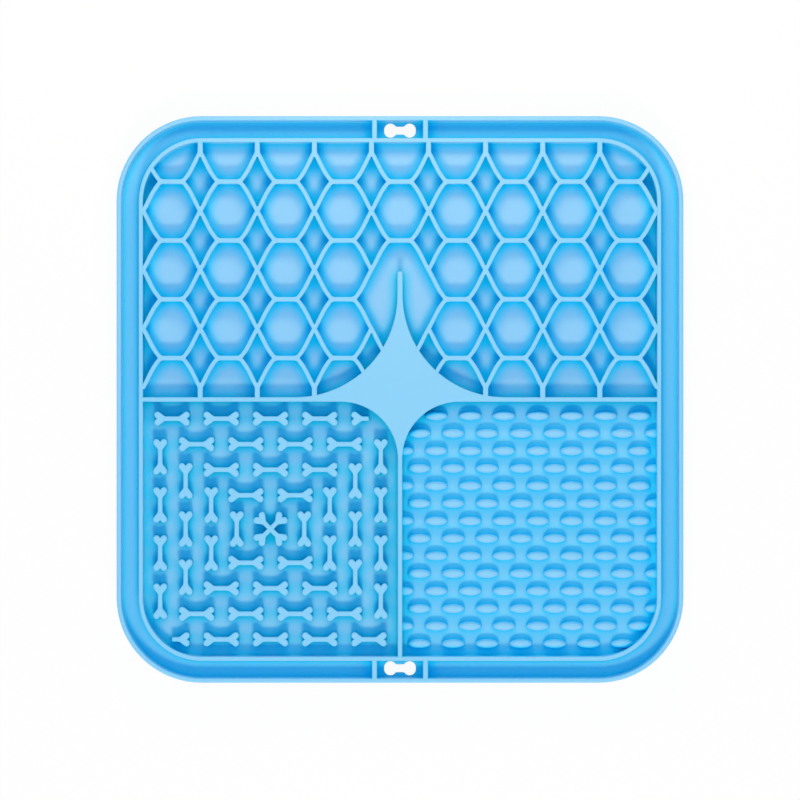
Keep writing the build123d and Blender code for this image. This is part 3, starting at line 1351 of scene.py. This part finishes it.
@dataclass
class OvalStuds:
    """Low domed ovals in staggered rows, cut where they meet the dividers, the star and the wall."""

    levels: Levels
    length: float = 8.3
    width: float = 3.3
    rows: int = 14
    columns: int = 8
    steps: float = 7.5
    rear_gap: float = 5.0
    front_gap: float = 4.3
    sides: int = 20
    bury: float = 0.6
    # Share of the plan and of the height at each ring of points, from the foot up.
    profile: tuple[Point, ...] = (
        (1.04, -0.15),
        (1.0, 0.06),
        (0.975, 0.45),
        (0.90, 0.68),
        (0.76, 0.85),
        (0.55, 0.95),
        (0.28, 0.99),
    )

    def stud(self) -> bpy.types.Object:
        """One oval: a dome that is steep at its foot and nearly flat on top.

        Returns:
            The oval about its own middle.
        """
        levels = self.levels
        top = box_mm("oval_studs")[1].z
        height = top - levels.tread
        drawing = bmesh.new()
        rings = []
        for share, rise in self.profile:
            half_x, half_y = share * self.length / 2, share * self.width / 2
            turns = [2 * math.pi * i / self.sides for i in range(self.sides)]
            z = levels.tread + height * rise
            rings.append([drawing.verts.new((half_x * math.cos(a), half_y * math.sin(a), z)) for a in turns])
        for low, high in zip(rings, rings[1:]):
            for i in range(self.sides):
                j = (i + 1) % self.sides
                drawing.faces.new((low[i], low[j], high[j], high[i]))
        drawing.faces.new(list(reversed(rings[0])))
        drawing.faces.new(rings[-1])
        return mesh_of("oval", drawing)

    def recipe(self) -> Recipe:
        """Tree for the staggered rows: counts and pitches give the spots, and limits cut the ovals.

        Returns:
            The finished tree.
        """
        recipe = Recipe("staggered_ovals")
        count, columns = (recipe.ask(name, "Int") for name in ("Count", "Columns"))
        step, pitch, first, least, bury = map(
            recipe.ask, ("Step", "Pitch", "First Row", "Least Kept", "Bury")
        )
        left, right, rear, front = map(recipe.ask, ("Left", "Right", "Rear", "Front"))
        corner_r, star_r = map(recipe.ask, ("Corner Radius", "Star Radius"))
        index = recipe.node("GeometryNodeInputIndex")
        row = ((index + 0.5) / columns).floor()
        column = index - row * columns
        spot = {"X": left + step * (column + (row % 2) * 0.5), "Y": first - pitch * row}
        place = recipe.node("ShaderNodeCombineXYZ", None, spot)
        points = recipe.node("GeometryNodePoints", None, {"Count": count, "Position": place})
        corners = (
            (left + star_r, rear - star_r, star_r, -1, 1),
            (right - corner_r, front + corner_r, corner_r, 1, -1),
        )
        star_depth, corner_depth = (self._beyond(recipe, *corner) for corner in corners)
        lost = star_depth.at_least(corner_depth) > least
        kept = recipe.node("GeometryNodeDeleteGeometry", None, {"Geometry": points, "Selection": lost})
        feeds = {"Points": kept, "Instance": recipe.shape("Oval")}
        studs = recipe.node("GeometryNodeInstanceOnPoints", None, feeds)
        real = recipe.node("GeometryNodeRealizeInstances", None, {"Geometry": studs})
        x, y, z = self._position(recipe)
        held = {"X": x.at_least(left - bury).at_most(right + bury), "Y": y, "Z": z}
        cut = self._moved(recipe, real, held)
        for centre_x, centre_y, radius, sign_x, sign_y in corners:
            x, y, z = self._position(recipe)
            limit = radius + bury
            beyond = self._beyond(recipe, centre_x, centre_y, limit, sign_x, sign_y).at_least(0.0)
            shrink = 1 - beyond / (beyond + limit)
            pulled_x, pulled_y = centre_x + (x - centre_x) * shrink, centre_y + (y - centre_y) * shrink
            cut = self._moved(recipe, cut, {"X": pulled_x, "Y": pulled_y, "Z": z})
        recipe.close(cut)
        return recipe

    def _position(self, recipe: Recipe) -> tuple[Sock, ...]:
        """Coordinates of the point at hand."""
        place = recipe.node("GeometryNodeInputPosition")
        return tuple(recipe.node("ShaderNodeSeparateXYZ", None, {0: place}, axis) for axis in "XYZ")

    def _moved(self, recipe: Recipe, geometry: Sock, place: dict[str, Sock]) -> Sock:
        """Geometry whose points move to new coordinates."""
        target = recipe.node("ShaderNodeCombineXYZ", None, place)
        return recipe.node("GeometryNodeSetPosition", None, {"Geometry": geometry, "Position": target})

    def _beyond(self, recipe: Recipe, x: Feed, y: Feed, radius: Feed, sign_x: int, sign_y: int) -> Sock:
        """Distance past a round corner of the field.

        Args:
            recipe: Tree to add to.
            x: Corner centre along x.
            y: Corner centre along y.
            radius: Corner radius.
            sign_x: Side of the centre, along x, on which the corner lies.
            sign_y: Side of the centre, along y, on which the corner lies.

        Returns:
            The distance, below zero inside the field.
        """
        at_x, at_y, _ = self._position(recipe)
        out_x = ((at_x - x) * sign_x).at_least(0.0)
        out_y = ((at_y - y) * sign_y).at_least(0.0)
        both = (out_x > 0.0) * (out_y > 0.0)
        return (recipe.math("SQRT", out_x * out_x + out_y * out_y) - radius) * both

    def build(self) -> list[Piece]:
        """Make the rows.

        Returns:
            All ovals as one piece.
        """
        levels = self.levels
        side = levels.field - levels.half_divider
        star_low, _ = box_mm("centre_star")
        oval = self.stud()
        inputs = {
            "Columns": self.columns,
            "Count": self.columns * self.rows,
            "Step": side / self.steps,
            "Pitch": (side - self.rear_gap - self.front_gap) / (self.rows - 1),
            "Left": levels.half_divider,
            "Rear": -levels.half_divider,
            "Right": levels.field,
            "Front": -levels.field,
            "First Row": -levels.half_divider - self.rear_gap,
            "Corner Radius": levels.corner(levels.field),
            "Star Radius": -star_low.y - levels.half_divider,
            "Bury": self.bury,
            "Least Kept": self.width / 2,
            "Oval": oval,
        }
        studs = self.recipe().grow("oval_studs_set", inputs, levels.finish)
        discard(oval)
        return [Piece(studs, ("oval_studs",), crisp=False)]


@dataclass
class SuctionCups:
    """Flared suction cups in a square grid under the mat."""

    levels: Levels
    count: int = 4
    lip_d: float = 14.0
    lip_w: float = 0.8
    neck_d: float = 9.0
    hollow_depth: float = 1.5
    lip_t: float = 0.35
    lip_bevel: float = 0.2
    # Shares of the bevel and of the lip's thickness where the lip's outer edge turns under.
    lip_edge: Point = (1 / 4, 1 / 3)
    bury: float = 0.3
    flare_steps: int = 6
    hollow_steps: int = 7
    sides: int = 32

    def section(self) -> list[Point]:
        """Half section of a cup, from its neck round the lip to the middle of the hollow.

        Returns:
            Distance from the cup's axis and height of each point.
        """
        levels = self.levels
        lip, neck = self.lip_d / 2, self.neck_d / 2
        flare, rise = lip - neck, levels.under - self.lip_t
        turns = [math.pi / 2 * (1 - i / self.flare_steps) for i in range(self.flare_steps + 1)]
        outside = [(lip - flare * math.sin(a), levels.under - rise * math.cos(a)) for a in turns]
        bowl = lip - self.lip_w
        inwards, up = self.lip_edge
        turn = (lip - self.lip_bevel * inwards, self.lip_t * up)
        edge = [turn, (lip - self.lip_bevel, 0.0), (bowl, 0.0)]
        turns = [math.pi / 2 * i / self.hollow_steps for i in range(1, self.hollow_steps)]
        hollow = [(bowl * math.cos(a), self.hollow_depth * math.sin(a)) for a in turns]
        return [(neck, levels.under + self.bury)] + outside + edge + hollow + [(0.0, self.hollow_depth)]

    def cup(self) -> bpy.types.Object:
        """One cup about its own axis.

        Returns:
            The cup.
        """
        drawing = bmesh.new()
        points = [(0.0, self.section()[0][1])] + self.section()
        chain = [drawing.verts.new((r, 0, z)) for r, z in points]
        edges = [drawing.edges.new(pair) for pair in zip(chain, chain[1:])]
        bmesh.ops.spin(
            drawing, geom=chain + edges, cent=(0, 0, 0), axis=(0, 0, 1), angle=2 * math.pi, steps=self.sides
        )
        return mesh_of("cup", drawing)

    def recipe(self) -> Recipe:
        """Tree that stands cups on a square grid.

        Returns:
            The finished tree.
        """
        recipe = Recipe("cup_grid")
        reach, count = recipe.ask("Reach"), recipe.ask("Count", "Int")
        feeds = {"Size X": reach, "Size Y": reach, "Vertices X": count, "Vertices Y": count}
        grid = recipe.node("GeometryNodeMeshGrid", None, feeds)
        feeds = {"Points": grid, "Instance": recipe.shape("Cup")}
        recipe.close(recipe.node("GeometryNodeInstanceOnPoints", None, feeds))
        return recipe

    def build(self) -> list[Piece]:
        """Make the grid of cups.

        Returns:
            All cups as one piece.
        """
        low, high = box_mm("suction_cups")
        cup = self.cup()
        inputs = {"Reach": high.x - low.x - self.lip_d, "Count": self.count, "Cup": cup}
        cups = self.recipe().grow("suction_cups_set", inputs, self.levels.finish)
        discard(cup)
        return [Piece(cups, ("suction_cups",), crisp=False)]


@dataclass(frozen=True)
class Softbox:
    """One soft lamp: where it hangs, its two sides and its power in watts."""

    name: str
    place: tuple[float, float, float]
    size: Point
    power: float


@dataclass
class Studio:
    """White floor, soft lamps in front of and behind the mat, and the camera straight above it."""

    frame_width: float = 0.2822
    focal: float = 200.0
    sensor: float = 36.0
    eye_y: float = -0.0002
    floor_reach: float = 4.0
    sky: Colour = (0.26, 0.66, 0.82, 1.0)
    lamp_tint: tuple[float, float, float] = (1.0, 0.47, 0.25)
    lamps: tuple[Softbox, ...] = (
        Softbox("rear_softbox", (0.0, 0.22, 0.17), (0.16, 0.06), 0.38),
        Softbox("front_softbox", (0.0, -0.80, 0.90), (0.36, 0.18), 10.4),
    )

    def build(self, target_height: float) -> None:
        """Set up the floor, the lamps, the sky and the camera.

        Args:
            target_height: Height of the mat's top in metres.
        """
        self.lay_floor()
        for softbox in self.lamps:
            self.hang_lamp(softbox)
        self.light_sky()
        self.aim_camera(target_height)

    def lay_floor(self) -> None:
        """Lay the floor that the mat stands on."""
        mesh = bpy.data.meshes.new("studio_floor")
        reach = self.floor_reach
        corners = [(-reach, -reach, 0), (reach, -reach, 0), (reach, reach, 0), (-reach, reach, 0)]
        mesh.from_pydata(corners, [], [(0, 1, 2, 3)])
        mesh.materials.append(PaleFloor().make("studio_white"))
        put_in_scene("studio_floor", mesh)

    def hang_lamp(self, softbox: Softbox) -> None:
        """Hang one softbox that faces the mat.

        Args:
            softbox: The lamp.
        """
        light = bpy.data.lights.new(softbox.name, "AREA")
        light.shape = "RECTANGLE"
        light.size, light.size_y = softbox.size
        light.energy = softbox.power
        light.color = self.lamp_tint
        lamp = put_in_scene(softbox.name, light)
        lamp.location = softbox.place
        lamp.rotation_euler = (-lamp.location).to_track_quat("-Z", "Y").to_euler()

    def light_sky(self) -> None:
        """Fill the room with even light that looks white to the camera."""
        world = bpy.data.worlds.new("studio_sky")
        bpy.context.scene.world = world
        graph = Graph.of(world)
        colour = graph.blend(seen_share(graph), self.sky, WHITE)
        shader = graph.node("ShaderNodeBackground", None, {"Color": colour, "Strength": 1.0})
        graph.node("ShaderNodeOutputWorld", None, {"Surface": shader})

    def aim_camera(self, target_height: float) -> None:
        """Hang the camera above the mat.

        Args:
            target_height: Height at which the frame has its full width.
        """
        camera = bpy.data.cameras.new("camera")
        camera.sensor_width = self.sensor
        camera.lens = self.focal
        eye = put_in_scene("camera", camera)
        eye.location = (0, self.eye_y, target_height + self.frame_width * self.focal / self.sensor)
        bpy.context.scene.camera = eye


def main() -> None:
    """Build the mat piece by piece and set up the studio."""
    logging.basicConfig(level=logging.INFO, format="%(name)s: %(message)s")
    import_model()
    levels = Levels(SatinSilicone().make("satin_blue_silicone"))
    makers: list[Callable[[], list[Piece]]] = [
        BaseSheet(levels).build,
        GutterWalls(levels).build,
        StarCross(levels).build,
        Honeycomb(levels).build,
        BoneStuds(levels).build,
        OvalStuds(levels).build,
        SuctionCups(levels).build,
    ]
    for make in makers:
        for piece in make():
            piece.dress(levels.finish)
    Studio().build(levels.top / MM_PER_M)
    bpy.context.scene.view_settings.view_transform = "Standard"
    bpy.context.view_layer.update()


if __name__ == "__main__":
    main()
